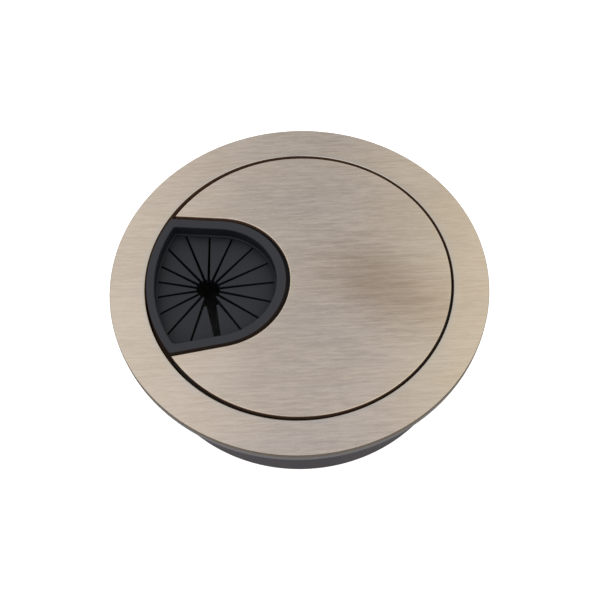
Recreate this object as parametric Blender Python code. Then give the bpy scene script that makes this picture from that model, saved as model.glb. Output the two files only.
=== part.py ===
"""Desk grommet: a metal-topped ring with a plastic sleeve, a lid that turns and lifts out, and a flexible cable outlet.

The origin is the centre of the sleeve's foot. +Z is up, out of the desk top, and the cable outlet faces -X.
Run it in Blender 4.5. It replaces whatever is in the scene with the grommet's 23 pieces.
"""

from math import atan2, cos, degrees, pi, radians, sin, sqrt

import bmesh
import bpy
from mathutils import Matrix, Vector

MM = 0.001

# Overall sizes. Depths are measured down from the flange's top face.
HEIGHT = 22.6 * MM
FLANGE_R = 45.0 * MM
OPENING_R = 36.7 * MM
SLEEVE_R = 39.4 * MM
REST_GAP = 0.3 * MM

# Metal ring on top of the flange
BEZEL_T = 1.0 * MM
BEZEL_EDGE = 0.25 * MM
BEZEL_WALL = 0.8 * MM
BEZEL_SKIRT_DEPTH = 2.2 * MM

# Plastic body: the lip under the ring, the sleeve in the desk hole and the ledge that carries the lid
LIP_INSET = 0.4 * MM
LIP_T = 0.8 * MM
SLEEVE_WALL = 1.6 * MM
LEDGE_R = 35.0 * MM
LEDGE_DEPTH = 8.8 * MM
LEDGE_T = 1.2 * MM
LEAD_IN = 0.4 * MM
CRUSH_RIB_H = 0.4 * MM
CRUSH_RIB_W = 1.0 * MM
CRUSH_RIB_TOP = 5.0 * MM
CRUSH_RIB_FOOT = 3.0 * MM
CRUSH_RIB_BITE = 0.5 * MM
CRUSH_RIB_GROUPS = (90, 210, 330)
CRUSH_RIB_SPREAD = (-7, 0, 7)

# Ring that the lid turns on
GLIDE_T = 1.0 * MM
GLIDE_WALL = 0.65 * MM
GLIDE_UPSTAND_DEPTH = 4.6 * MM
GLIDE_INNER_R = 35.3 * MM

# Lid: metal plate, plastic carrier under it
LID_R = 35.9 * MM
PLATE_T = 1.4 * MM
PLATE_EDGE = 0.2 * MM
CARRIER_R = 36.25 * MM
CARRIER_SKIRT_WALL = 1.65 * MM
CARRIER_DEPTH = 7.2 * MM
DECK_T = 1.5 * MM
COLLAR_DEPTH = 6.0 * MM
COLLAR_WALL = 3.0 * MM
BAND_DEPTH = 6.3 * MM
RIB_X = (6 * MM, 16 * MM, 26 * MM)
RIB_T = 1.2 * MM
RIB_H = 1.6 * MM
RIB_BITE = 0.4 * MM

# Outlet notch in the lid: a round nose and two flaring flanks
NOSE_R = 18.0 * MM
NOSE_X = -20.2 * MM
FLARE = radians(7.7)

# Flexible insert in the notch. Its arc across the mouth has a centre of its own.
INSERT_GAP = 0.4 * MM
MOUTH_R = 32.75 * MM
MOUTH_CENTRE = Vector((-3.55 * MM, 0.83 * MM))
RIM_W = 2.5 * MM
OUTER_RIM_W = 2.1 * MM
RIM_DEPTH = 0.1 * MM
INSERT_DEPTH = 6.0 * MM
FLANGE_REACH = 1.6 * MM
FLANGE_T = 1.2 * MM
WEB_DEPTH = 3.2 * MM
WEB_T = 1.4 * MM
SLIT_INSET = 0.4 * MM

# Flaps between the slits
HUB = Vector((-22.0 * MM, 0.0))
PETALS = 17
WIDE_SLOT_ANGLE = radians(-82)
WIDE_SLOT_SPACING = radians(23.7)
SLIT_SWAY = radians(1.9)
SLIT_SWAY_AT = radians(18.5)
SLIT_HALF = 0.25 * MM
WIDE_SLOT_HALF_OUTER = 0.75 * MM
WIDE_SLOT_HALF_HUB = 1.35 * MM
TIP_W = 0.5 * MM
DISH = 1.0 * MM
STRAIGHT_ROOT = 1.0 * MM

# Facets
RING_STEPS = 72
LID_STEPS = 60
NOSE_STEPS = 24
MOUTH_STEPS = 12
KNUCKLE_STEPS = 4
SHARP_ANGLE = radians(30)
WELD = 0.000001
OVERSHOOT = 2 * MM

# Worked out from the sizes above
PLATE_BOTTOM = -PLATE_T
DECK_TOP = PLATE_BOTTOM - REST_GAP
DECK_BOTTOM = DECK_TOP - DECK_T
LIP_TOP = -BEZEL_T - REST_GAP
LIP_BOTTOM = LIP_TOP - LIP_T
GLIDE_TOP = -CARRIER_DEPTH - REST_GAP
BORE_R = SLEEVE_R - SLEEVE_WALL
SKIRT_INNER_R = CARRIER_R - CARRIER_SKIRT_WALL
SLIT_STEP = (2 * pi - 2 * WIDE_SLOT_SPACING) / (PETALS - 2)
KNUCKLE_R = WEB_T / 2


def clear_scene():
    for old in list(bpy.data.objects):
        bpy.data.objects.remove(old, do_unlink=True)


def make_material(name, colour, metallic, roughness):
    material = bpy.data.materials.new(name)
    material.use_nodes = True
    shader = material.node_tree.nodes["Principled BSDF"]
    shader.inputs["Base Color"].default_value = (*colour, 1.0)
    shader.inputs["Metallic"].default_value = metallic
    shader.inputs["Roughness"].default_value = roughness
    return material


def brushed_brass(name):
    return make_material(name, (0.50, 0.43, 0.35), 1.0, 0.38)


def sleeve_plastic(name):
    return make_material(name, (0.065, 0.060, 0.072), 0.0, 0.45)


def black_plastic(name):
    return make_material(name, (0.020, 0.020, 0.022), 0.0, 0.40)


def soft_plastic(name):
    return make_material(name, (0.033, 0.035, 0.042), 0.0, 0.60)


def make_empty(name, location):
    empty = bpy.data.objects.new(name, None)
    empty.location = location
    bpy.context.scene.collection.objects.link(empty)
    return empty


def make_object(name, bm):
    """Puts a mesh into the scene as a new object, with its faces pointing out."""
    bmesh.ops.remove_doubles(bm, verts=bm.verts, dist=WELD)
    bmesh.ops.recalc_face_normals(bm, faces=bm.faces)
    mesh = bpy.data.meshes.new(name)
    bm.to_mesh(mesh)
    bm.free()
    obj = bpy.data.objects.new(name, mesh)
    bpy.context.scene.collection.objects.link(obj)
    return obj


def shade(obj):
    obj.data.shade_smooth()
    obj.data.set_sharp_from_angle(angle=SHARP_ANGLE)


def finish(obj, material, parent=None):
    shade(obj)
    obj.data.materials.clear()
    obj.data.materials.append(material)
    obj.parent = parent
    return obj


def combine(obj, tool, operation):
    """Joins the tool to obj, or cuts it away, and removes the tool."""
    modifier = obj.modifiers.new(operation.lower(), "BOOLEAN")
    modifier.operation = operation
    modifier.solver = "EXACT"
    modifier.object = tool
    graph = bpy.context.evaluated_depsgraph_get()
    mesh = bpy.data.meshes.new_from_object(obj.evaluated_get(graph))
    obj.modifiers.clear()
    obj.data = mesh
    bpy.data.objects.remove(tool, do_unlink=True)


def arc(centre, radius, start, end, steps):
    """Points along an arc, both ends included."""
    turns = [start + (end - start) * i / steps for i in range(steps + 1)]
    return [Vector((centre[0] + radius * cos(a), centre[1] + radius * sin(a))) for a in turns]


def turned(name, profile):
    """A ring: a closed profile of (radius, z) points turned once round Z."""
    bm = bmesh.new()
    verts = [bm.verts.new((r, 0, z)) for r, z in profile]
    edges = [bm.edges.new((v, verts[i - 1])) for i, v in enumerate(verts)]
    bmesh.ops.spin(
        bm,
        geom=verts + edges,
        cent=(0, 0, 0),
        axis=(0, 0, 1),
        angle=2 * pi,
        steps=RING_STEPS,
        use_merge=True,
    )
    return make_object(name, bm)


def lofted(name, layers):
    """A solid through outlines of equal length, each given with its z."""
    bm = bmesh.new()
    loops = [[bm.verts.new((p[0], p[1], z)) for p in outline] for outline, z in layers]
    bm.faces.new(loops[0])
    bm.faces.new(loops[-1])
    for low, high in zip(loops, loops[1:]):
        for i in range(len(low)):
            bm.faces.new((low[i - 1], low[i], high[i], high[i - 1]))
    return make_object(name, bm)


def prism(name, outline, bottom, top):
    return lofted(name, [(outline, bottom), (outline, top)])


def disc(name, radius, bottom, top):
    return prism(name, arc((0, 0), radius, 0, 2 * pi, RING_STEPS)[:-1], bottom, top)


def blocks(name, boxes):
    """Separate boxes in one object. Each is a centre, a size and a turn round Z."""
    bm = bmesh.new()
    for centre, size, turn in boxes:
        made = bmesh.ops.create_cube(bm, size=1.0)["verts"]
        bmesh.ops.scale(bm, vec=size, verts=made)
        bmesh.ops.translate(bm, vec=centre, verts=made)
        bmesh.ops.rotate(bm, cent=(0, 0, 0), matrix=Matrix.Rotation(turn, 3, "Z"), verts=made)
    return make_object(name, bm)


def nose_arc(grow):
    """The notch's round nose, grown outwards, from its lower flank to its upper one."""
    end = pi / 2 - FLARE
    return arc((NOSE_X, 0), NOSE_R + grow, -end, end, NOSE_STEPS)


def mouth(grow, rim, centre=(0, 0)):
    """Where the notch's upper flank meets a circle of radius rim."""
    start = nose_arc(grow)[-1]
    along = Vector((-cos(FLARE), sin(FLARE)))
    away = start - Vector(centre)
    b = away.dot(along)
    c = away.length_squared - rim * rim
    return start + along * (-b + sqrt(b * b - c))


def outlet_outline(grow, rim, centre=(0, 0)):
    """The outlet's D shape: nose, flanks and an arc of radius rim across the mouth."""
    x, y = centre
    top = mouth(grow, rim, centre)
    low = mouth(grow, rim, (x, -y))
    start = atan2(top.y - y, top.x - x)
    end = 2 * pi - atan2(low.y + y, low.x - x)
    return nose_arc(grow) + arc(centre, rim, start, end, MOUTH_STEPS)


def lid_outline(inset):
    """The lid's disc with the outlet notch taken out of it, shrunk by inset."""
    top = mouth(inset, LID_R - inset)
    turn = atan2(top.y, top.x)
    return arc((0, 0), LID_R - inset, -turn, turn, LID_STEPS) + nose_arc(inset)[::-1]


def insert_outline(grow, mouth_grow=0):
    """The insert's outer wall, grown outwards along the notch and across the mouth."""
    return outlet_outline(grow - INSERT_GAP, MOUTH_R + mouth_grow, MOUTH_CENTRE)


def reach(angle):
    """The end of the slit at this angle, where it stops short of the insert's wall."""
    outline = insert_outline(-RIM_W - SLIT_INSET, -OUTER_RIM_W - SLIT_INSET)
    way = Vector((cos(angle), sin(angle)))
    side = Vector((-way.y, way.x))
    for i, p in enumerate(outline):
        q = outline[i - 1]
        a = (p - HUB).dot(side)
        b = (q - HUB).dot(side)
        if a * b > 0 or (p - HUB).dot(way) < 0:
            continue
        return q + (p - q) * (b / (b - a))
    raise ValueError(f"no slit end at {degrees(angle):.1f} degrees")


def slit_angle(index):
    """The slits' directions from the hub. Slit 0 is the wide slot, which stands further from its neighbours.

    The even spacing of the others sways a little: they crowd towards one diagonal of the outlet.
    """
    if index in (0, PETALS):
        even = WIDE_SLOT_ANGLE + index * 2 * pi / PETALS
    else:
        even = WIDE_SLOT_ANGLE + WIDE_SLOT_SPACING + (index - 1) * SLIT_STEP
    return even - SLIT_SWAY * cos(2 * (even - SLIT_SWAY_AT))


def slit_half(index, distance, full):
    """Half the width of a slit at a distance from the hub."""
    if index % PETALS:
        return SLIT_HALF
    share = distance / full
    return WIDE_SLOT_HALF_HUB + (WIDE_SLOT_HALF_OUTER - WIDE_SLOT_HALF_HUB) * share


def slit_edge(index, side):
    """The inner and outer point of a slit's edge, on its +1 (anticlockwise) or -1 side."""
    angle = slit_angle(index)
    end = reach(angle)
    full = (end - HUB).length
    across = Vector((-sin(angle), cos(angle))) * side
    return (
        HUB + across * slit_half(index, 0, full),
        end + across * slit_half(index, full, full),
    )


def tip_radius(index):
    """How near to the hub the flap's tip comes, at the width that is left between its slits."""
    taken = TIP_W + SLIT_HALF
    taken += WIDE_SLOT_HALF_HUB if index in (0, PETALS - 1) else SLIT_HALF
    return taken / (2 * sin((slit_angle(index + 1) - slit_angle(index)) / 2))


def flap_frame(index):
    """The flap's hinge centre, the direction along its hinge and the direction to its tip."""
    low = reach(slit_angle(index))
    high = reach(slit_angle(index + 1))
    along = (high - low).normalized()
    inward = Vector((-along.y, along.x))
    middle = (low + high) / 2 + inward * (KNUCKLE_R + REST_GAP)
    return middle, along, inward


def flap_section(length):
    """The flap seen from the side: a round root on the hinge, and a blade that dips to its tip."""
    root = arc((0, 0), KNUCKLE_R, pi / 2, 3 * pi / 2, 2 * KNUCKLE_STEPS)
    near = Vector((STRAIGHT_ROOT, -DISH * STRAIGHT_ROOT / length))
    far = Vector((length, -DISH))
    half = Vector((0, KNUCKLE_R))
    return root + [near - half, far - half, far + half, near + half]


def flap(index):
    """A flap. Its sides stay straight near the root, so that its corners clear the next flap as it bends."""
    middle, along, inward = flap_frame(index)
    middle_angle = (slit_angle(index) + slit_angle(index + 1)) / 2
    tip = HUB + Vector((cos(middle_angle), sin(middle_angle))) * tip_radius(index)
    edges = [slit_edge(index, 1), slit_edge(index + 1, -1)]

    def across(edge, distance):
        inner, outer = ((p - middle) for p in edge)
        share = (distance - outer.dot(inward)) / (inner.dot(inward) - outer.dot(inward))
        return (outer + (inner - outer) * share).dot(along)

    bm = bmesh.new()
    section = flap_section((tip - middle).dot(inward))
    loops = [[bm.verts.new((across(e, max(p.x, STRAIGHT_ROOT)), p.x, p.y)) for p in section] for e in edges]
    for loop in loops:
        bm.faces.new(loop)
    for i in range(len(section)):
        bm.faces.new((loops[0][i - 1], loops[0][i], loops[1][i], loops[1][i - 1]))
    obj = make_object(f"petal_{index + 1:02d}", bm)
    obj.location = (middle.x, middle.y, -WEB_DEPTH - KNUCKLE_R)
    obj.rotation_euler = (0, 0, atan2(along.y, along.x))
    return obj


def bezel_ring():
    """The brushed metal ring: a flat top with a short skirt down into the sleeve."""
    profile = [
        (OPENING_R + BEZEL_EDGE, 0),
        (FLANGE_R - BEZEL_EDGE, 0),
        (FLANGE_R, -BEZEL_EDGE),
        (FLANGE_R, -BEZEL_T),
        (OPENING_R + BEZEL_WALL, -BEZEL_T),
        (OPENING_R + BEZEL_WALL, -BEZEL_SKIRT_DEPTH),
        (OPENING_R, -BEZEL_SKIRT_DEPTH),
        (OPENING_R, -BEZEL_EDGE),
    ]
    return turned("bezel_ring", profile)


def crush_ribs():
    """Upright ribs on the sleeve that grip the wall of the desk hole."""
    bottom = CRUSH_RIB_FOOT - HEIGHT
    length = -CRUSH_RIB_TOP - bottom
    inner = SLEEVE_R - CRUSH_RIB_BITE
    outer = SLEEVE_R + CRUSH_RIB_H
    centre = ((inner + outer) / 2, 0, bottom + length / 2)
    size = (outer - inner, CRUSH_RIB_W, length)
    turns = [radians(g + s) for g in CRUSH_RIB_GROUPS for s in CRUSH_RIB_SPREAD]
    return blocks("crush_rib_tool", [(centre, size, turn) for turn in turns])


def body_sleeve():
    """The plastic body: a lip on the desk top, a sleeve in its hole and an inner ledge."""
    ledge_reach = BORE_R - LEDGE_R
    profile = [
        (BORE_R, LIP_TOP),
        (FLANGE_R - LIP_INSET, LIP_TOP),
        (FLANGE_R - LIP_INSET, LIP_BOTTOM),
        (SLEEVE_R, LIP_BOTTOM),
        (SLEEVE_R, LEAD_IN - HEIGHT),
        (SLEEVE_R - LEAD_IN, -HEIGHT),
        (BORE_R, -HEIGHT),
        (BORE_R, -LEDGE_DEPTH - LEDGE_T - ledge_reach),
        (LEDGE_R, -LEDGE_DEPTH - LEDGE_T),
        (LEDGE_R, -LEDGE_DEPTH),
        (BORE_R, -LEDGE_DEPTH),
    ]
    body = turned("body_sleeve", profile)
    combine(body, crush_ribs(), "UNION")
    return body


def glide_ring():
    """The thin ring between the sleeve's ledge and the lid, with an upstand round the lid."""
    outer = OPENING_R + GLIDE_WALL
    profile = [
        (OPENING_R, -GLIDE_UPSTAND_DEPTH),
        (outer, -GLIDE_UPSTAND_DEPTH),
        (outer, GLIDE_TOP - GLIDE_T),
        (GLIDE_INNER_R, GLIDE_TOP - GLIDE_T),
        (GLIDE_INNER_R, GLIDE_TOP),
        (OPENING_R, GLIDE_TOP),
    ]
    return turned("glide_ring", profile)


def lid_plate():
    """The brushed metal disc of the lid, with its outlet notch and a small chamfer."""
    layers = [
        (lid_outline(0), PLATE_BOTTOM),
        (lid_outline(0), -PLATE_EDGE),
        (lid_outline(PLATE_EDGE), 0),
    ]
    return lofted("lid_plate", layers)


def carrier_ribs():
    """Stiffening ribs under the carrier's deck, from skirt to skirt."""
    top = DECK_BOTTOM + RIB_BITE
    boxes = []
    for x in RIB_X:
        span = 2 * (sqrt(SKIRT_INNER_R**2 - x**2) + RIB_BITE)
        boxes.append(((x, 0, top - RIB_H / 2), (RIB_T, span, RIB_H), 0))
    return blocks("carrier_rib_tool", boxes)


def lid_carrier():
    """The plastic tray under the lid plate: deck, skirt, ribs and a collar round the insert."""
    past = FLANGE_R
    wall_grow = -INSERT_GAP + REST_GAP
    flange_grow = -INSERT_GAP + FLANGE_REACH + REST_GAP
    flange_bottom = DECK_TOP - FLANGE_T - REST_GAP
    collar = outlet_outline(wall_grow + COLLAR_WALL, SKIRT_INNER_R + RIB_BITE)
    carrier = disc("lid_carrier", CARRIER_R, -CARRIER_DEPTH, DECK_TOP)
    hollow = disc("hollow_tool", SKIRT_INNER_R, -CARRIER_DEPTH - OVERSHOOT, DECK_BOTTOM)
    combine(carrier, hollow, "DIFFERENCE")
    combine(carrier, prism("collar_tool", collar, -COLLAR_DEPTH, DECK_BOTTOM + RIB_BITE), "UNION")
    combine(carrier, carrier_ribs(), "UNION")
    seat = prism("seat_tool", outlet_outline(flange_grow, past), flange_bottom, OVERSHOOT)
    combine(carrier, seat, "DIFFERENCE")
    well = prism("well_tool", outlet_outline(wall_grow, past), -BAND_DEPTH, OVERSHOOT)
    combine(carrier, well, "DIFFERENCE")
    return carrier


def insert_frame():
    """The insert's D-shaped wall, its flange under the lid plate and the web that holds the flaps."""
    frame = prism("insert_frame", insert_outline(0), -INSERT_DEPTH, -RIM_DEPTH)
    flange = insert_outline(FLANGE_REACH)
    combine(frame, prism("flange_tool", flange, DECK_TOP - FLANGE_T, DECK_TOP), "UNION")
    inside = insert_outline(-RIM_W, -OUTER_RIM_W)
    combine(frame, prism("upper_tool", inside, -WEB_DEPTH, OVERSHOOT), "DIFFERENCE")
    lower_top = -WEB_DEPTH - WEB_T
    lower = prism("lower_tool", inside, -INSERT_DEPTH - OVERSHOOT, lower_top)
    combine(frame, lower, "DIFFERENCE")
    opening = [reach(slit_angle(i)) for i in range(PETALS)]
    through = prism("opening_tool", opening, -INSERT_DEPTH - OVERSHOOT, OVERSHOOT)
    combine(frame, through, "DIFFERENCE")
    return frame


def build():
    clear_scene()
    top = make_empty("flange_top", (0, 0, HEIGHT))
    brass = brushed_brass("bezel_brass")
    finish(bezel_ring(), brass, top)
    finish(body_sleeve(), sleeve_plastic("sleeve_plastic"), top)
    finish(glide_ring(), black_plastic("glide_plastic"), top)
    lid = make_empty("lid_axis", (0, 0, 0))
    lid.parent = top
    finish(lid_plate(), brushed_brass("lid_brass"), lid)
    finish(lid_carrier(), black_plastic("carrier_plastic"), lid)
    finish(insert_frame(), soft_plastic("insert_plastic"), lid)
    flap_material = soft_plastic("petal_plastic")
    for index in range(PETALS):
        finish(flap(index), flap_material, lid)


build()
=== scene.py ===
"""Looks of the desk grommet: smooth, finely edged pieces in brushed metal and moulded plastic.

Lengths are in metres. Depths are measured down from the flange's top face, and an inset is measured inwards
from an outline.
"""

from math import atan2, cos, degrees, pi, radians, sin, sqrt, tan

import bmesh
import bpy
import numpy as np
from mathutils import Matrix, Vector


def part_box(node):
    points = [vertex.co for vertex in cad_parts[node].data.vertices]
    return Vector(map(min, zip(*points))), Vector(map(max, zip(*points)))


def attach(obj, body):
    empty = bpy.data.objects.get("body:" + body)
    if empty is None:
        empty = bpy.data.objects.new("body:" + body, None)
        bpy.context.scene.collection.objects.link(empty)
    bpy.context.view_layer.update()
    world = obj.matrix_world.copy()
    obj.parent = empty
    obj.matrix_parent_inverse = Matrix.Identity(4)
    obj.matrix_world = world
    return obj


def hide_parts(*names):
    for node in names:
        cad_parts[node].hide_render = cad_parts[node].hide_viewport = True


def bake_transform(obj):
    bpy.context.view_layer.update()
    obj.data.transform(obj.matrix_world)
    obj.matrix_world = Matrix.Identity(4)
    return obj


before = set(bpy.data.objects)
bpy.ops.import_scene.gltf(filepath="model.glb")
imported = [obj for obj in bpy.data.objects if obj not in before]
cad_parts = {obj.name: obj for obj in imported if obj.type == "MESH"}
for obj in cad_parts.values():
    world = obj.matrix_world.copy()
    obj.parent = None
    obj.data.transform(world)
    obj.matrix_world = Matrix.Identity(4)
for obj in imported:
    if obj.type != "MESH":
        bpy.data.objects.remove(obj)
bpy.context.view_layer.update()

MM = 0.001
REST_GAP = 0.3 * MM

# Sizes of the CAD parts in model.glb
BEZEL_LOW, BEZEL_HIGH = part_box("bezel_ring")
GLIDE_LOW, GLIDE_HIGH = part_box("glide_ring")
PLATE_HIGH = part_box("lid_plate")[1]
TRAY_LOW, TRAY_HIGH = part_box("lid_carrier")
INSERT_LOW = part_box("insert_frame")[0]
TOP = BEZEL_HIGH.z
FLANGE_R = BEZEL_HIGH.x
LID_R = PLATE_HIGH.x
TRAY_R = TRAY_HIGH.x
GLIDE_R = GLIDE_HIGH.x
FLAP_NAMES = sorted(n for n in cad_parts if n.startswith("petal_"))

# Metal ring and lid
OPENING_R = 36.7 * MM
BEZEL_EDGE_DEPTH = 1.22 * MM
BEZEL_WALL = 0.8 * MM
PLATE_T = 1.4 * MM
EDGE_R = 0.22 * MM
CRISP_R = 0.12 * MM
TOP_OUTER_R = 0.1 * MM

# Plastic body
SLEEVE_R = 39.4 * MM
BORE_R = 37.8 * MM
LEDGE_R = 35.0 * MM
LIP_INSET = 0.1 * MM
LIP_TOP = 1.26 * MM
LIP_BOTTOM = 2.7 * MM
LIP_EDGE_R = 0.2 * MM
LIP_CORNER = 0.25 * MM
LEAD_IN = 0.4 * MM
LEDGE_DEPTH = 8.8 * MM
LEDGE_T = 1.2 * MM
RIB_H = 0.4 * MM
RIB_W = 1.0 * MM
RIB_TOP = 5.0 * MM
RIB_FOOT = 3.0 * MM
RIB_TAPER = 0.6 * MM
RIB_MIDDLES = [9.0 * MM, 13.0 * MM]
RIB_ANGLES = [g + s for g in (90, 210, 330) for s in (-7, 0, 7)]

# Ring that the lid turns on, and tray under the lid
GLIDE_T = 1.0 * MM
GLIDE_BORE_R = 35.3 * MM
TRAY_DECK_T = 1.5 * MM
TRAY_WALL = 1.65 * MM
TRAY_CORNER_R = 0.3 * MM
TRAY_BITE = 0.4 * MM
TRAY_RIB_X = (6.0 * MM, 16.0 * MM, 26.0 * MM)
TRAY_RIB_W = 1.2 * MM
TRAY_RIB_H = 1.2 * MM
COLLAR_WALL = 3.0 * MM
COLLAR_DEPTH = 6.0 * MM
WELL_DEPTH = 6.3 * MM
# Radius that the cuts for the outlet reach to, well past the lid's rim
CUT_CLEAR = 60.0 * MM

# Outlet notch and insert
NOSE_R = 18.0 * MM
NOSE_X = -20.3 * MM
FLARE = radians(7.7)
INSERT_GAP = 0.6 * MM
INSERT_REACH = 1.6 * MM
INSERT_REACH_T = 1.2 * MM
UPPER_CORNER_R = 0.6 * MM
UPPER_CORNER_INNER_R = 0.5 * MM
LOWER_CORNER_R = 1.0 * MM
LOWER_CORNER_INNER_R = 1.4 * MM
MOUTH_R = 33.53 * MM
MOUTH_CENTRE = (-3.11 * MM, -0.15 * MM)
RIM_W = 2.5 * MM
OUTER_RIM_W = 2.1 * MM
RIM_DEPTH = 0.1 * MM
WEB_DEPTH = 3.2 * MM
WEB_T = 1.4 * MM
SLIT_INSET = 0.6 * MM
MOUTH_SLIT_INSET = 0.4 * MM
HUB = Vector((-22.0 * MM, 0.0))
WIDE_SLOT_ANGLE = radians(-83.5)
WIDE_SLOT_SPACING = radians(23.7)
SLIT_SWAY = radians(1.9)
SLIT_SWAY_AT = radians(17.0)
SLIT_HALF_OUTER = 0.20 * MM
SLIT_HALF_HUB = 0.32 * MM
WIDE_HALF_OUTER = 0.75 * MM
WIDE_HALF_HUB = 1.35 * MM
TIP_W = 0.36 * MM
DISH = 0.7 * MM
SLIT_STEP = (2 * pi - 2 * WIDE_SLOT_SPACING) / (len(FLAP_NAMES) - 2)

# The outlet is drawn straight along X, and then turned a little about its mouth
OUTLET_PIVOT = Vector((-30.5 * MM, 0.0, 0.0))
OUTLET_TURN = radians(1.5)
OUTLET_SET = (
    Matrix.Translation(OUTLET_PIVOT)
    @ Matrix.Rotation(OUTLET_TURN, 4, "Z")
    @ Matrix.Translation(-OUTLET_PIVOT)
)
LID_CENTRE = (OUTLET_SET.inverted() @ Vector()).xy

# The lid rests a little off centre in its ring, and the insert in the lid, within their play
LID_SET = Matrix.Translation(Vector((0.25, 0.03, 0.0)) * MM) @ OUTLET_SET
INSERT_SET = Matrix.Translation(Vector((0.09, 0.07, 0.0)) * MM) @ OUTLET_SET

# Width of the flat strip beside each rounding, which keeps its shading from spreading
SUPPORT = 0.06 * MM
# A length too small to see
TINY = 0.001 * MM
# Points round a ring, apart from the closer ones at the crush ribs
RING_STEPS = 240
# UV units per metre of brushed metal
BRUSH_UV_SCALE = 20


# ---------------------------------------------------------------- outlines

def arc(centre, radius, start, end, steps):
    turns = [start + (end - start) * i / steps for i in range(steps + 1)]
    return [Vector((centre[0] + radius * cos(a), centre[1] + radius * sin(a))) for a in turns]


def soften(corners, steps=4):
    """A closed profile of (x, y, corner radius), with each corner rounded and held flat beside it."""
    points = []
    for i, (x, y, radius) in enumerate(corners):
        here = Vector((x, y))
        if not radius:
            points.append(here)
            continue
        before = (Vector(corners[i - 1][:2]) - here).normalized()
        after = (Vector(corners[(i + 1) % len(corners)][:2]) - here).normalized()
        half = before.angle(after) / 2
        run = radius / tan(half)
        centre = here + (before + after).normalized() * (radius / sin(half))
        start = here + before * run - centre
        end = here + after * run - centre
        turn = atan2(start.cross(end), start.dot(end))
        first = atan2(start.y, start.x)
        points.append(here + before * (run + SUPPORT))
        points += arc(centre, radius, first, first + turn, steps)
        points.append(here + after * (run + SUPPORT))
    return points


def meet(grow, rim, centre=(0, 0)):
    """Where the outlet's upper flank, grown outwards, meets a circle of radius rim."""
    end = pi / 2 - FLARE
    start = Vector((NOSE_X, 0)) + Vector((cos(end), sin(end))) * (NOSE_R + grow)
    along = Vector((-cos(FLARE), sin(FLARE)))
    away = start - Vector(centre)
    b = away.dot(along)
    return start + along * (-b + sqrt(b * b - away.length_squared + rim * rim))


def outlet_outline(grow, rim, upper_r, lower_r, centre=(0, 0), steps=12):
    """The outlet's D shape, with a rounding at each of its two corners."""
    x, y = centre
    end = pi / 2 - FLARE
    above = meet(grow - upper_r, rim - upper_r, (x, y))
    below = meet(grow - lower_r, rim - lower_r, (x, -y))
    turn = atan2(above.y - y, above.x - x)
    back = atan2(below.y + y, below.x - x)
    nose = arc((NOSE_X, 0), NOSE_R + grow, -end, end, 8 * steps)
    upper = arc(above, upper_r, end, turn, steps)
    across = arc((x, y), rim, turn, 2 * pi - back, 4 * steps)
    lower = arc((below.x, -below.y), lower_r, -back, -end, steps)
    return nose + upper + across[1:-1] + lower


def insert_outline(inset, mouth_inset=None):
    """The insert's outline, inset from its outer wall. The rim is narrower along the mouth than elsewhere."""
    share = max(0.0, inset / RIM_W)
    if mouth_inset is None:
        mouth_inset = OUTER_RIM_W * share
    upper = UPPER_CORNER_R + (UPPER_CORNER_INNER_R - UPPER_CORNER_R) * share
    lower = LOWER_CORNER_R + (LOWER_CORNER_INNER_R - LOWER_CORNER_R) * share
    return outlet_outline(-INSERT_GAP - inset, MOUTH_R - mouth_inset, upper, lower, MOUTH_CENTRE)


def cast(outline, angles):
    """The points of an outline seen from the hub at each angle."""
    ends = np.array([p[:] for p in outline]) - np.array(HUB[:])
    starts = np.roll(ends, 1, axis=0)
    points = []
    for a in angles:
        way = np.array((cos(a), sin(a)))
        side = np.array((-way[1], way[0]))
        s, e = starts @ side, ends @ side
        ahead = (starts @ way > 0) | (ends @ way > 0)
        hits = np.where((s <= 0) & (e > 0) & ahead)[0]
        i = hits[0]
        share = s[i] / (s[i] - e[i])
        points.append(HUB + Vector(starts[i] + (ends[i] - starts[i]) * share))
    return points


def slit_angle(index):
    """A slit's direction from the hub. Slit 0 is the wide slot, which stands further from its neighbours."""
    if index in (0, len(FLAP_NAMES)):
        even = WIDE_SLOT_ANGLE + index * 2 * pi / len(FLAP_NAMES)
    else:
        even = WIDE_SLOT_ANGLE + WIDE_SLOT_SPACING + (index - 1) * SLIT_STEP
    return even - SLIT_SWAY * cos(2 * (even - SLIT_SWAY_AT))


def slit_end(index):
    outline = insert_outline(RIM_W + SLIT_INSET, OUTER_RIM_W + MOUTH_SLIT_INSET)
    return cast(outline, [slit_angle(index)])[0]


SLIT_ENDS = [slit_end(i) for i in range(len(FLAP_NAMES))]


# ---------------------------------------------------------------- meshes

def add_piece(name, bm):
    bmesh.ops.recalc_face_normals(bm, faces=bm.faces)
    mesh = bpy.data.meshes.new(name)
    bm.to_mesh(mesh)
    bm.free()
    piece = bpy.data.objects.new(name, mesh)
    bpy.context.scene.collection.objects.link(piece)
    return piece


def skin(name, loops, closed=True):
    """Faces through loops of equal length. A closed skin joins its last loop to its first."""
    bm = bmesh.new()
    rows = [[bm.verts.new(p) for p in loop] for loop in loops]
    pairs = list(zip(rows, rows[1:]))
    if closed:
        pairs.append((rows[-1], rows[0]))
    for low, high in pairs:
        for i in range(len(low)):
            bm.faces.new((low[i - 1], low[i], high[i], high[i - 1]))
    if not closed:
        caps = [bm.faces.new(row) for row in (rows[0], rows[-1])]
        bm.normal_update()
        bmesh.ops.triangulate(bm, faces=caps)
    return add_piece(name, bm)


def ring_angles(dense_at=(), spread=1.2, steps=12):
    """Angles round the ring in degrees, closer together near the given ones."""
    angles = {360 * i / RING_STEPS for i in range(RING_STEPS)}
    for centre in dense_at:
        angles |= {round(centre + spread * (2 * i / steps - 1), 4) % 360 for i in range(steps + 1)}
    return [radians(a) for a in sorted(angles)]


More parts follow.
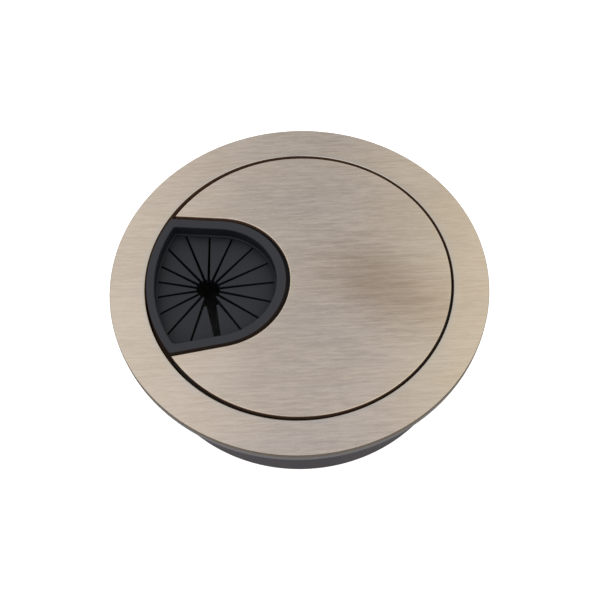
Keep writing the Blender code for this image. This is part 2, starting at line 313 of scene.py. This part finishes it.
def turned(name, profile, bulge=None, angles=None):
    """A ring from a closed profile of (radius, depth). bulge(angle, radius, depth) adds to the radius."""
    angles = angles or ring_angles()
    loops = []
    for radius, depth in profile:
        loop = []
        for a in angles:
            r = radius + (bulge(a, radius, depth) if bulge else 0)
            loop.append((r * cos(a), r * sin(a), TOP - depth))
        loops.append(loop)
    return skin(name, loops)


def smooth(piece, angle=35):
    piece.data.shade_smooth()
    piece.data.set_sharp_from_angle(angle=radians(angle))
    return piece


def brush_uv(piece):
    """A UV map whose U runs along the brushing: along X on flat faces, and round the ring on upright ones."""
    mesh = piece.data
    layer = mesh.uv_layers.new(name="brush").data
    for polygon in mesh.polygons:
        flat = abs(polygon.normal.z) > 0.5
        middle = atan2(polygon.center.y, polygon.center.x)
        for loop in polygon.loop_indices:
            co = mesh.vertices[mesh.loops[loop].vertex_index].co
            if flat:
                layer[loop].uv = (co.x * BRUSH_UV_SCALE, co.y * BRUSH_UV_SCALE)
            else:
                turn = atan2(co.y, co.x) - middle
                turn = (turn + pi) % (2 * pi) - pi
                layer[loop].uv = ((middle + turn) * FLANGE_R * BRUSH_UV_SCALE, co.z * BRUSH_UV_SCALE)
    return piece


def combine(piece, tool, operation):
    modifier = piece.modifiers.new(operation.lower(), "BOOLEAN")
    modifier.operation = operation
    modifier.solver = "EXACT"
    modifier.object = tool
    graph = bpy.context.evaluated_depsgraph_get()
    mesh = bpy.data.meshes.new_from_object(piece.evaluated_get(graph))
    piece.modifiers.clear()
    piece.data = mesh
    bpy.data.objects.remove(tool, do_unlink=True)


# ---------------------------------------------------------------- materials

BLACK = (0.0, 0.0, 0.0)
UNTINTED = (1.0, 1.0, 1.0)


class Nodes:
    """Short calls for building the node tree of a material or a world."""

    def __init__(self, owner, shader="Principled BSDF"):
        owner.use_nodes = True
        self.owner = owner
        self.tree = owner.node_tree
        self.shader = self.tree.nodes[shader]

    def add(self, kind, **settings):
        node = self.tree.nodes.new(kind)
        for key, value in settings.items():
            setattr(node, key, value)
        return node

    def link(self, source, target):
        self.tree.links.new(source, target)

    def put(self, node, **values):
        for key, value in values.items():
            node.inputs[key.replace("_", " ")].default_value = value
        return node

    def place(self, kind="POINT", **values):
        """The place on the piece, through a Mapping node with the given inputs."""
        coordinates = self.add("ShaderNodeTexCoord")
        mapping = self.put(self.add("ShaderNodeMapping", vector_type=kind), **values)
        self.link(coordinates.outputs["Object"], mapping.inputs["Vector"])
        return mapping

    def length(self, mapping):
        length = self.add("ShaderNodeVectorMath", operation="LENGTH")
        self.link(mapping.outputs["Vector"], length.inputs[0])
        return length.outputs["Value"]

    def noise(self, scale, detail=3.0, roughness=0.5, stretch=(1, 1, 1)):
        mapping = self.place(Scale=stretch)
        noise = self.add("ShaderNodeTexNoise")
        noise.inputs["Scale"].default_value = scale
        noise.inputs["Detail"].default_value = detail
        noise.inputs["Roughness"].default_value = roughness
        self.link(mapping.outputs["Vector"], noise.inputs["Vector"])
        return noise.outputs["Fac"]

    def math(self, operation, a, b):
        node = self.add("ShaderNodeMath", operation=operation)
        for value, socket in ((a, node.inputs[0]), (b, node.inputs[1])):
            if isinstance(value, (int, float)):
                socket.default_value = value
            else:
                self.link(value, socket)
        return node.outputs[0]

    def spread(self, value, low, high, to_low, to_high, kind="LINEAR"):
        """The value carried from the range low to high over to the range to_low to to_high."""
        node = self.add("ShaderNodeMapRange", interpolation_type=kind)
        for socket, number in zip(("From Min", "From Max", "To Min", "To Max"), (low, high, to_low, to_high)):
            node.inputs[socket].default_value = number
        self.link(value, node.inputs["Value"])
        return node.outputs["Result"]

    def mix(self, share, a, b):
        node = self.add("ShaderNodeMix", data_type="RGBA")
        self.link(share, node.inputs["Factor"])
        sockets = [s for s in node.inputs if s.type == "RGBA"]
        for value, socket in ((a, sockets[0]), (b, sockets[1])):
            if isinstance(value, tuple):
                socket.default_value = (*value, 1.0)
            else:
                self.link(value, socket)
        return [s for s in node.outputs if s.type == "RGBA"][0]

    def multiply(self, a, b):
        node = self.add("ShaderNodeMix", data_type="RGBA", blend_type="MULTIPLY")
        node.inputs["Factor"].default_value = 1.0
        sockets = [s for s in node.inputs if s.type == "RGBA"]
        self.link(a, sockets[0])
        self.link(b, sockets[1])
        return [s for s in node.outputs if s.type == "RGBA"][0]

    def bump(self, height, distance, strength):
        node = self.add("ShaderNodeBump")
        node.inputs["Distance"].default_value = distance
        node.inputs["Strength"].default_value = strength
        self.link(height, node.inputs["Height"])
        self.link(node.outputs["Normal"], self.shader.inputs["Normal"])


def new_material(name):
    return Nodes(bpy.data.materials.new(name))


def dull_edge(name, dark, light, painted_glow=BLACK):
    """A cut or darker edge, dull and not brushed. Its last argument is the colour of a painted glow, which
    stands in for the light leaking down a gap onto it.
    """
    n = new_material(name)
    grains = n.noise(900.0, 3.0, 0.6)
    n.link(n.mix(n.spread(grains, 0.35, 0.65, 0.0, 1.0), dark, light), n.shader.inputs["Base Color"])
    n.link(n.spread(grains, 0.3, 0.7, 0.5, 0.62), n.shader.inputs["Roughness"])
    # The emission is a painted glow, standing in for light that leaks down a gap
    n.put(n.shader, Metallic=EDGE_METALLIC, Emission_Color=(*painted_glow, 1.0), Emission_Strength=1.0)
    n.bump(grains, 0.01 * MM, 0.3)
    return n.owner


def painted_reflection_patch(n, colour, broad):
    """A painted reflection: a soft darker, redder place on the lid, uneven along the brushing."""
    patch = n.place("TEXTURE", Location=REFLECTION_PATCH_CENTRE, Rotation=REFLECTION_PATCH_TURN, Scale=REFLECTION_PATCH_SIZE)
    from_centre = n.length(patch)
    uneven = n.math("ADD", from_centre, n.spread(broad, 0.3, 0.7, -0.12, 0.12))
    fade = n.spread(uneven, 0.1, 1.0, REFLECTION_PATCH_STRENGTH, 0.0, "SMOOTHSTEP")
    return n.multiply(colour, n.mix(fade, UNTINTED, REFLECTION_PATCH_TINT))


def painted_edge_reflection(n, colour, broad):
    """A painted reflection of grey surroundings on the ring's inner edge, which turns the brass a more
    neutral grey.
    """
    from_axis = n.length(n.place(Scale=(1, 1, 0)))
    uneven = n.math("ADD", from_axis, n.spread(broad, 0.3, 0.7, -0.1 * MM, 0.1 * MM))
    fade = n.spread(uneven, EDGE_REFLECTION_FULL_R, EDGE_REFLECTION_END_R, EDGE_REFLECTION_STRENGTH, 0.0, "SMOOTHSTEP")
    return n.mix(fade, colour, EDGE_REFLECTION_TINT)


def brushed_metal(name, painted_reflection):
    """Antique brass plating with fine straight brushing along X. Its last argument, called with (nodes,
    colour, streaks), paints a reflection onto it.
    """
    n = new_material(name)
    fine = n.noise(1.0, 2.0, 0.6, FINE_STREAKS)
    broad = n.noise(1.0, 2.0, 0.5, BROAD_STREAKS)
    cloud = n.noise(38.0, 2.0, 0.5)
    streak = n.math("ADD", n.math("MULTIPLY", fine, 0.6), n.math("MULTIPLY", broad, 0.4))
    tone = n.math("ADD", n.math("MULTIPLY", streak, 0.75), n.math("MULTIPLY", cloud, 0.25))
    colour = n.mix(n.spread(tone, 0.40, 0.60, 0.0, 1.0), METAL_DARK, METAL_LIGHT)
    tint = n.mix(n.noise(1.0, 2.0, 0.5, TINT_STREAKS), WARM_TINT, COOL_TINT)
    colour = painted_reflection(n, n.multiply(colour, tint), broad)
    n.link(colour, n.shader.inputs["Base Color"])
    n.put(n.shader, Metallic=1.0, Anisotropic=0.8, Anisotropic_Rotation=0.25)
    n.link(n.spread(streak, 0.3, 0.7, 0.22, 0.32), n.shader.inputs["Roughness"])
    tangent = n.add("ShaderNodeTangent", direction_type="UV_MAP", uv_map="brush")
    n.link(tangent.outputs["Tangent"], n.shader.inputs["Tangent"])
    n.bump(streak, 0.03 * MM, 0.25)
    return n.owner


def moulded_plastic(name, low, high, roughness, grain=2600.0, depth=0.02 * MM, shine=0.5, painted_shade=0.0):
    """Moulded plastic with a fine grain and uneven shine. Where it is hemmed in, an ambient occlusion node
    paints shade on it: it darkens and shines less, by the share given.
    """
    n = new_material(name)
    grains = n.noise(grain, 3.0, 0.6)
    cloud = n.noise(90.0, 3.0, 0.55)
    tone = n.math("ADD", n.math("MULTIPLY", grains, 0.4), n.math("MULTIPLY", cloud, 0.6))
    colour = n.mix(n.spread(tone, 0.35, 0.65, 0.0, 1.0), low, high)
    n.put(n.shader, Specular_IOR_Level=shine)
    if painted_shade:
        around = n.add("ShaderNodeAmbientOcclusion", samples=8)
        around.inputs["Distance"].default_value = PAINTED_SHADE_REACH
        open_share = n.spread(around.outputs["AO"], 0.40, 0.95, 1.0 - painted_shade, 1.0)
        colour = n.mix(open_share, BLACK, colour)
        n.link(n.math("MULTIPLY", open_share, shine), n.shader.inputs["Specular IOR Level"])
    n.link(colour, n.shader.inputs["Base Color"])
    n.link(n.spread(cloud, 0.3, 0.7, roughness - 0.06, roughness + 0.06), n.shader.inputs["Roughness"])
    n.bump(grains, depth, 0.6)
    return n.owner


# Brushed metal. The streaks are noise scales along X, Y and Z.
METAL_LIGHT = (0.626, 0.541, 0.455)
METAL_DARK = (0.524, 0.449, 0.371)
FINE_STREAKS = (300, 2500, 1000)
BROAD_STREAKS = (90, 1500, 300)
TINT_STREAKS = (25, 160, 60)
WARM_TINT = (1.02, 1.0, 0.95)
COOL_TINT = (0.98, 1.0, 1.06)
EDGE_METALLIC = 0.25
# A painted glow on the walls of the gaps round the lid and the insert
PAINTED_GAP_GLOW = (0.012, 0.0068, 0.0046)
# A painted reflection on the lid: a soft darker, redder patch right of its middle
REFLECTION_PATCH_CENTRE = Vector((20.5 * MM, -3.5 * MM, TOP))
REFLECTION_PATCH_TURN = (0, 0, radians(-35))
REFLECTION_PATCH_SIZE = Vector((26.0, 15.0, 12.0)) * MM
REFLECTION_PATCH_STRENGTH = 0.34
REFLECTION_PATCH_TINT = (0.27, 0.12, 0.0)
# A painted reflection on the ring's inner edge, which greys the brass near the opening
EDGE_REFLECTION_FULL_R = OPENING_R + 0.4 * MM
EDGE_REFLECTION_END_R = OPENING_R + 1.3 * MM
EDGE_REFLECTION_STRENGTH = 0.4
EDGE_REFLECTION_TINT = (0.50, 0.49, 0.46)

# Plastics. The insert's is softer and has a finer grain.
RUBBER_GRAIN = 3800.0
RUBBER_GRAIN_DEPTH = 0.03 * MM
# Reach of the painted shade in hemmed-in places
PAINTED_SHADE_REACH = 6.0 * MM

# What picks the faces that get a second material: widths, and the Z part of a face's normal
EDGE_BAND = 0.5 * MM
WEB_SHADE_DEPTH = RIM_DEPTH + 0.35 * MM
LEVEL = 0.99
UPRIGHT = 0.35

RING_METAL = brushed_metal("ring_metal", painted_edge_reflection)
LID_METAL = brushed_metal("lid_metal", painted_reflection_patch)
EDGE_METAL = dull_edge("edge_metal", (0.088, 0.068, 0.050), (0.122, 0.096, 0.071))
# Dark brown metal of the gap walls, with the painted gap glow
GAP_METAL = dull_edge("gap_metal", (0.100, 0.053, 0.034), (0.135, 0.073, 0.047), PAINTED_GAP_GLOW)
SLEEVE_PLASTIC = moulded_plastic(
    "sleeve_plastic",
    (0.015, 0.011, 0.020),
    (0.027, 0.022, 0.033),
    roughness=0.42,
    shine=0.36,
)
LIP_PLASTIC = moulded_plastic(
    "lip_plastic",
    (0.070, 0.064, 0.078),
    (0.086, 0.079, 0.095),
    roughness=0.38,
)
# The insert's outside walls: near-black plastic with the painted gap glow
GAP_PLASTIC = dull_edge("gap_plastic", (0.008, 0.007, 0.006), (0.012, 0.010, 0.009), PAINTED_GAP_GLOW)
# Lighter and browner than the black plastic: painted light, standing in for the warm light that the brass
# walls throw into the gap
BROWN_PLASTIC = moulded_plastic(
    "brown_plastic",
    (0.042, 0.023, 0.014),
    (0.058, 0.034, 0.022),
    roughness=0.5,
    shine=0.35,
)
BLACK_PLASTIC = moulded_plastic(
    "black_plastic",
    (0.008, 0.006, 0.005),
    (0.012, 0.010, 0.009),
    roughness=0.5,
    shine=0.35,
)
RIM_PLASTIC = moulded_plastic(
    "rim_plastic",
    (0.0065, 0.0078, 0.0155),
    (0.0108, 0.0127, 0.0235),
    roughness=0.52,
    grain=RUBBER_GRAIN,
    depth=RUBBER_GRAIN_DEPTH,
)
# The web, wall and flaps: like the rim's plastic, but with painted shade, so it shines less and darkens where
# hemmed in
SHADED_WEB_PLASTIC = moulded_plastic(
    "web_plastic_painted_shade",
    (0.007, 0.009, 0.015),
    (0.012, 0.014, 0.023),
    roughness=0.55,
    grain=RUBBER_GRAIN,
    depth=RUBBER_GRAIN_DEPTH,
    shine=0.39,
    painted_shade=0.42,
)


def another_material(piece, material, chosen):
    """Gives the piece's chosen faces another material."""
    piece.data.materials.append(material)
    for polygon in piece.data.polygons:
        if chosen(polygon):
            polygon.material_index = len(piece.data.materials) - 1


def is_outer_edge(polygon):
    """The ring's outer wall and the rounding above it, which get a darker, dull metal that is not brushed."""
    return polygon.center.xy.length > FLANGE_R - EDGE_BAND and abs(polygon.normal.z) < LEVEL


def is_gap_wall(polygon):
    """The upright faces round the lid and the outlet, which get a dark brown metal with a painted glow."""
    return polygon.center.xy.length < FLANGE_R - EDGE_BAND and abs(polygon.normal.z) < UPRIGHT


def is_outside_wall(polygon):
    """The upright faces of the insert that look away from its hub, towards the lid and the ring."""
    return abs(polygon.normal.z) < UPRIGHT and polygon.normal.xy.dot(polygon.center.xy - HUB) > 0


def settle(piece, material, slot, body, *nodes):
    """Gives a finished piece its material and its body, and hides the CAD nodes that it stands for."""
    piece.data.materials.clear()
    piece.data.materials.append(material)
    if material in (RING_METAL, LID_METAL):
        another_material(piece, EDGE_METAL, is_outer_edge)
        another_material(piece, GAP_METAL, is_gap_wall)
    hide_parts(*nodes)
    if body:
        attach(piece, body)
    return piece


# ---------------------------------------------------------------- pieces

def bezel_metal():
    skirt_r = OPENING_R + BEZEL_WALL
    profile = soften([
        (OPENING_R, 0, EDGE_R),
        (OPENING_R, TOP - BEZEL_LOW.z, CRISP_R),
        (skirt_r, TOP - BEZEL_LOW.z, CRISP_R),
        (skirt_r, BEZEL_EDGE_DEPTH, 0),
        (FLANGE_R, BEZEL_EDGE_DEPTH, CRISP_R),
        (FLANGE_R, 0, TOP_OUTER_R),
    ])
    piece = smooth(turned("bezel_metal", profile))
    return settle(brush_uv(piece), RING_METAL, "bezel_brass", "ring", "bezel_ring")


def rib_bulge(angle, radius, depth):
    """How far a crush rib stands out of the sleeve here. It tapers at both ends."""
    if abs(radius - SLEEVE_R) > TINY:
        return 0
    end = min(depth - RIB_TOP, TOP - RIB_FOOT - depth) / RIB_TAPER
    if end <= 0:
        return 0
    off = min(abs((degrees(angle) - a + 180) % 360 - 180) for a in RIB_ANGLES)
    across = radians(off) * SLEEVE_R / (RIB_W / 2)
    if across >= 1:
        return 0
    return RIB_H * min(1, end) * sqrt(1 - across**2)


def sleeve_moulding():
    lip_r = FLANGE_R - LIP_INSET
    slope = BORE_R - LEDGE_R
    outer = soften([
        (lip_r, LIP_TOP, CRISP_R),
        (lip_r, LIP_BOTTOM, LIP_EDGE_R),
        (SLEEVE_R + LIP_CORNER, LIP_BOTTOM, 0),
        (SLEEVE_R, LIP_BOTTOM + LIP_CORNER, 0),
        (SLEEVE_R, TOP - LEAD_IN, 0),
        (SLEEVE_R - LEAD_IN, TOP, CRISP_R),
        (BORE_R, TOP, CRISP_R),
        (BORE_R, LEDGE_DEPTH + LEDGE_T + slope, 0),
        (LEDGE_R, LEDGE_DEPTH + LEDGE_T, CRISP_R),
        (LEDGE_R, LEDGE_DEPTH, CRISP_R),
        (BORE_R, LEDGE_DEPTH, 0),
        (BORE_R, LIP_TOP, CRISP_R),
    ])
    taper = (0, RIB_TAPER / 2, RIB_TAPER)
    wall = [RIB_TOP + t for t in taper] + RIB_MIDDLES + [TOP - RIB_FOOT - t for t in taper[::-1]]
    start = next(i for i, p in enumerate(outer) if abs(p.x - SLEEVE_R) < TINY) + 1
    profile = outer[:start] + [Vector((SLEEVE_R, d)) for d in wall] + outer[start:]
    piece = turned("sleeve_moulding", profile, rib_bulge, ring_angles(RIB_ANGLES))
    settle(smooth(piece, 40), SLEEVE_PLASTIC, "sleeve_plastic", "ring", "body_sleeve")
    another_material(piece, LIP_PLASTIC, lambda polygon: polygon.center.xy.length > lip_r - EDGE_BAND)
    return piece


def glide_band():
    top, low = TOP - GLIDE_HIGH.z, TOP - GLIDE_LOW.z
    seat = low - GLIDE_T
    profile = soften([
        (OPENING_R, top, EDGE_R),
        (OPENING_R, seat, 0),
        (GLIDE_BORE_R, seat, CRISP_R),
        (GLIDE_BORE_R, low, CRISP_R),
        (GLIDE_R, low, CRISP_R),
        (GLIDE_R, top, EDGE_R),
    ])
    piece = smooth(turned("glide_band", profile))
    return settle(piece, BROWN_PLASTIC, "glide_plastic", "glide", "glide_ring")


def lid_outline(inset):
    """The lid's outline, inset: its rim, then the upper flank, the nose and the lower flank of the outlet."""
    x, y = LID_CENTRE
    above = meet(inset, LID_R - inset, (x, y))
    below = meet(inset, LID_R - inset, (x, -y))
    turn = atan2(above.y - y, above.x - x)
    back = atan2(below.y + y, below.x - x)
    end = pi / 2 - FLARE
    rim = arc((x, y), LID_R - inset, -back, turn, 300)
    nose = arc((NOSE_X, 0), NOSE_R + inset, end, -end, 120)
    upper = [rim[-1].lerp(nose[0], i / 6) for i in range(1, 6)]
    lower = [nose[-1].lerp(rim[0], i / 6) for i in range(1, 6)]
    return rim + upper + nose + lower


def edge_layers(radius, steps=5):
    """(inset, depth) down a rounded top edge, with a flat strip inside it."""
    turns = [pi / 2 * i / steps for i in range(steps + 1)]
    return [(radius + SUPPORT, 0)] + [(radius * (1 - sin(t)), radius * (1 - cos(t))) for t in turns]


def lid_disc():
    layers = edge_layers(EDGE_R)
    layers += [(0, EDGE_R + SUPPORT), (0, PLATE_T - CRISP_R - SUPPORT)]
    layers += [(i, PLATE_T - d) for i, d in edge_layers(CRISP_R, 3)[::-1]]
    loops = [[(p.x, p.y, TOP - d) for p in lid_outline(i)] for i, d in layers]
    piece = smooth(skin("lid_disc", loops, closed=False))
    piece.data.transform(LID_SET)
    return settle(brush_uv(piece), LID_METAL, "lid_brass", "lid", "lid_plate")


def prism(name, outline, top, bottom):
    return skin(name, [[(p.x, p.y, TOP - d) for p in outline] for d in (top, bottom)], closed=False)


def disc(name, radius, top, bottom):
    return prism(name, arc(LID_CENTRE, radius, 0, 2 * pi, RING_STEPS)[:-1], top, bottom)


def rib_box(name, x, span, top, bottom):
    half = TRAY_RIB_W / 2
    corners = [(x - half, -span), (x + half, -span), (x + half, span), (x - half, span)]
    return prism(name, [LID_CENTRE + Vector(c) for c in corners], top, bottom)


def lid_tray():
    """The tray under the lid plate: deck, skirt, ribs and a collar round the insert."""
    depth = TOP - TRAY_LOW.z
    deck = TOP - TRAY_HIGH.z
    floor = deck + TRAY_DECK_T
    inner = TRAY_R - TRAY_WALL
    corners = TRAY_CORNER_R, TRAY_CORNER_R
    tray = disc("lid_tray", TRAY_R, deck, depth)
    combine(tray, disc("hollow", inner, floor, depth + MM), "DIFFERENCE")
    wall = REST_GAP - INSERT_GAP
    collar = outlet_outline(wall + COLLAR_WALL, inner + TRAY_BITE, *corners)
    combine(tray, prism("collar", collar, floor - TRAY_BITE, COLLAR_DEPTH), "UNION")
    for x in TRAY_RIB_X:
        span = sqrt(inner**2 - x**2) + TRAY_BITE
        combine(tray, rib_box("rib", x, span, floor - TRAY_BITE, floor + TRAY_RIB_H), "UNION")
    seat = outlet_outline(wall + INSERT_REACH, CUT_CLEAR, *corners)
    combine(tray, prism("seat", seat, -MM, floor), "DIFFERENCE")
    well = outlet_outline(wall, CUT_CLEAR, *corners)
    combine(tray, prism("well", well, -MM, WELL_DEPTH), "DIFFERENCE")
    tray.data.transform(LID_SET)
    return settle(smooth(tray), BLACK_PLASTIC, "carrier_plastic", "lid", "lid_carrier")


def rim_angles():
    """Angles round the hub, closer together at the outlet's corners and including every slit."""
    corner = insert_outline(0)
    tip = max(corner, key=lambda p: (p - HUB).y - 0.9 * (p - HUB).x)
    turn = degrees(atan2((tip - HUB).y, (tip - HUB).x))
    angles = set(range(360))
    fine = [step / 4 for step in range(-28, 29)]
    for centre in (turn, -turn):
        angles |= {round((centre + step) % 360, 4) for step in fine}
    angles = {radians(a) for a in angles}
    angles |= {slit_angle(i) % (2 * pi) for i in range(len(FLAP_NAMES))}
    return sorted(angles)


def insert_rim():
    """The insert's rim and wall, with a fillet down to the web that the flaps hang from."""
    angles = rim_angles()
    depth = TOP - INSERT_LOW.z
    reach_top = PLATE_T + REST_GAP
    web_low = WEB_DEPTH + WEB_T
    inner = RIM_W
    bevel = 0.2 * MM
    web_bevel = 0.35 * MM
    round_out = 0.15 * MM
    round_in = 0.45 * MM
    fillet = 0.3 * MM
    draft = 0.12 * MM
    section = soften([
        (0, RIM_DEPTH, round_out),
        (inner, RIM_DEPTH, round_in),
        (inner + draft, WEB_DEPTH, fillet),
        (inner + draft + fillet + 0.05 * MM, WEB_DEPTH, 0),
    ], 6)
    loops = [[(p.x, p.y, TOP - s.y) for p in cast(insert_outline(s.x), angles)] for s in section[:-1]]
    hole = cast(SLIT_ENDS, angles)
    loops.append([(p.x, p.y, TOP - WEB_DEPTH) for p in hole])
    loops.append([(p.x, p.y, TOP - web_low) for p in hole])
    under = [
        (inner + web_bevel, web_low),
        (inner, web_low + web_bevel),
        (inner, depth - bevel),
        (inner - bevel, depth),
        (bevel, depth),
        (0, depth - bevel),
        (0, reach_top + INSERT_REACH_T),
        (-INSERT_REACH, reach_top + INSERT_REACH_T),
        (-INSERT_REACH, reach_top),
        (0, reach_top),
    ]
    loops += [[(p.x, p.y, TOP - d) for p in cast(insert_outline(inset), angles)] for inset, d in under]
    piece = smooth(skin("insert_rim", loops), 40)
    piece.data.transform(INSERT_SET)
    settle(piece, RIM_PLASTIC, "insert_plastic", "lid", "insert_frame")
    another_material(piece, SHADED_WEB_PLASTIC, lambda polygon: polygon.center.z < TOP - WEB_SHADE_DEPTH)
    another_material(piece, GAP_PLASTIC, is_outside_wall)
    return piece


def slit_half(index, share):
    """Half the width of a slit, from the hub (share 0) to its end (share 1). Slit 0 is the wide one."""
    if index % len(FLAP_NAMES):
        return SLIT_HALF_HUB + (SLIT_HALF_OUTER - SLIT_HALF_HUB) * share
    return WIDE_HALF_HUB + (WIDE_HALF_OUTER - WIDE_HALF_HUB) * share


def slit_edge(index, side):
    angle = slit_angle(index)
    across = Vector((-sin(angle), cos(angle))) * side
    end = SLIT_ENDS[index % len(FLAP_NAMES)]
    return HUB + across * slit_half(index, 0), end + across * slit_half(index, 1)


def flap(index, name):
    """One flap: a blade that dips a little to its tip and bends near its root."""
    low, high = SLIT_ENDS[index], SLIT_ENDS[(index + 1) % len(FLAP_NAMES)]
    along = (high - low).normalized()
    inward = Vector((-along.y, along.x))
    middle = (low + high) / 2
    beside_wide = index in (0, len(FLAP_NAMES) - 1)
    taken = TIP_W + SLIT_HALF_HUB + (WIDE_HALF_HUB if beside_wide else SLIT_HALF_HUB)
    turn = (slit_angle(index) + slit_angle(index + 1)) / 2
    half_spread = (slit_angle(index + 1) - slit_angle(index)) / 2
    tip = HUB + Vector((cos(turn), sin(turn))) * (taken / (2 * sin(half_spread)))
    reach = (tip - middle).dot(inward)
    edges = [slit_edge(index, 1), slit_edge(index + 1, -1)]

    def side(edge, distance):
        inner, outer = (p - middle for p in edge)
        share = (distance - outer.dot(inward)) / (inner.dot(inward) - outer.dot(inward))
        return (outer + (inner - outer) * share).dot(along)

    embed = 0.25 * MM
    sunk = 0.015 * MM
    soft = 0.09 * MM
    steps = 26
    stations = [(-embed, sunk), (-TINY, sunk), (0.0, 0.0)]
    stations += [(reach * i / steps, 0.0) for i in range(1, steps + 1)]
    loops = []
    for distance, drop in stations:
        a, b = side(edges[0], distance), side(edges[1], distance)
        share = max(0.0, distance / reach)
        dip = DISH * share**1.3
        high_z, low_z = -WEB_DEPTH - dip - drop, -WEB_DEPTH - WEB_T - dip + drop
        s = min(soft, (b - a) * 0.3)
        q = 0.3 * s
        ring = [(a + s, high_z), ((a + b) / 2, high_z), (b - s, high_z), (b - q, high_z - q)]
        ring += [(b, high_z - s), (b, low_z + s), (b - q, low_z + q), (b - s, low_z)]
        ring += [((a + b) / 2, low_z), (a + s, low_z), (a + q, low_z + q), (a, low_z + s)]
        ring += [(a, high_z - s), (a + q, high_z - q)]
        base = middle + inward * distance
        loops.append([(*(base + along * x), TOP + z) for x, z in ring])
    piece = smooth(skin(f"flap_{index + 1:02d}", loops, closed=False), 50)
    piece.data.transform(INSERT_SET)
    settle(piece, SHADED_WEB_PLASTIC, "insert_plastic", None, name)
    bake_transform(piece)
    return piece


# ---------------------------------------------------------------- stage

# Strength of the tent's light: in its middle, low down and near its top, and what its sides add
MIDDLE_LOW = 0.50
MIDDLE_HIGH = 0.70
SIDE_LIFT = 0.45
# Colours of the tent's light and of the paper
WHITE = (1.0, 1.0, 1.0)
MIDDLE_LIGHT = (1.0, 1.0, 1.02)
HIGH_LIGHT = (0.97, 0.99, 1.15)
LEFT_LIGHT = (1.0, 0.99, 0.965)
RIGHT_LIGHT = (1.0, 0.968, 0.86)
PAPER_DARK = (0.78, 0.78, 0.78)
PAPER_LIGHT = (0.80, 0.80, 0.80)
SHADE_IN_SLEEVE = (0.06, 0.06, 0.06)


def paper_floor():
    """White paper, dark inside the sleeve.

    It glows, more to the camera than to the object, so that the shadow on it stays faint.
    """
    bm = bmesh.new()
    bmesh.ops.create_grid(bm, x_segments=1, y_segments=1, size=3.0)
    floor = add_piece("floor", bm)
    n = new_material("paper")
    paper = n.mix(n.noise(900.0, 2.0), PAPER_DARK, PAPER_LIGHT)
    outside = n.spread(n.length(n.place()), BORE_R, SLEEVE_R, 0.0, 1.0)
    n.link(n.mix(outside, SHADE_IN_SLEEVE, paper), n.shader.inputs["Base Color"])
    rays = n.add("ShaderNodeLightPath")
    shine = n.spread(rays.outputs["Is Camera Ray"], 0.0, 1.0, 0.2, 0.8)
    n.link(n.math("MULTIPLY", outside, shine), n.shader.inputs["Emission Strength"])
    n.put(n.shader, Roughness=0.9, Emission_Color=(*WHITE, 1.0))
    floor.data.materials.append(n.owner)


def studio_world():
    """A tent, white to the camera. Its light is weaker in the middle and warmer on the right."""
    n = Nodes(bpy.data.worlds.new("studio"), "Background")
    bpy.context.scene.world = n.owner
    place = n.add("ShaderNodeTexCoord")
    parts = n.add("ShaderNodeSeparateXYZ")
    n.link(place.outputs["Generated"], parts.inputs[0])
    left = n.spread(parts.outputs[0], 0.02, -0.17, 0.0, 1.0, "SMOOTHSTEP")
    right = n.spread(parts.outputs[0], 0.05, 0.15, 0.0, 1.0, "SMOOTHSTEP")
    height = n.spread(parts.outputs[2], 0.76, 0.90, MIDDLE_LOW, MIDDLE_HIGH)
    sides = n.math("MAXIMUM", left, right)
    level = n.math("ADD", height, n.math("MULTIPLY", sides, SIDE_LIFT))
    high = n.spread(parts.outputs[2], 0.84, 0.92, 0.0, 1.0)
    colour = n.mix(left, n.mix(high, MIDDLE_LIGHT, HIGH_LIGHT), LEFT_LIGHT)
    colour = n.mix(right, colour, RIGHT_LIGHT)
    seen = n.add("ShaderNodeLightPath").outputs["Is Camera Ray"]
    n.link(n.mix(seen, colour, WHITE), n.shader.inputs["Color"])
    n.link(n.math("MAXIMUM", level, seen), n.shader.inputs["Strength"])


def camera():
    elevation = radians(58.33)
    distance = 247.7 * MM
    turn = radians(0.25)
    roll = radians(-2.645)
    back = Vector((sin(turn) * cos(elevation), -cos(turn) * cos(elevation), sin(elevation)))
    cam = bpy.data.objects.new("camera", bpy.data.cameras.new("camera"))
    cam.location = Vector((0, 0, TOP)) + back * distance
    look = (-back).to_track_quat("-Z", "Y").to_matrix() @ Matrix.Rotation(roll, 3, "Z")
    cam.rotation_euler = look.to_euler()
    cam.data.lens = 62.49
    cam.data.shift_x = 0.0021
    cam.data.shift_y = -0.0370
    cam.data.clip_start = 0.01
    bpy.context.scene.collection.objects.link(cam)
    bpy.context.scene.camera = cam


bezel_metal()
sleeve_moulding()
glide_band()
lid_disc()
lid_tray()
insert_rim()
for index, name in enumerate(FLAP_NAMES):
    flap(index, name)

paper_floor()
studio_world()
camera()
bpy.context.scene.view_settings.view_transform = "Standard"
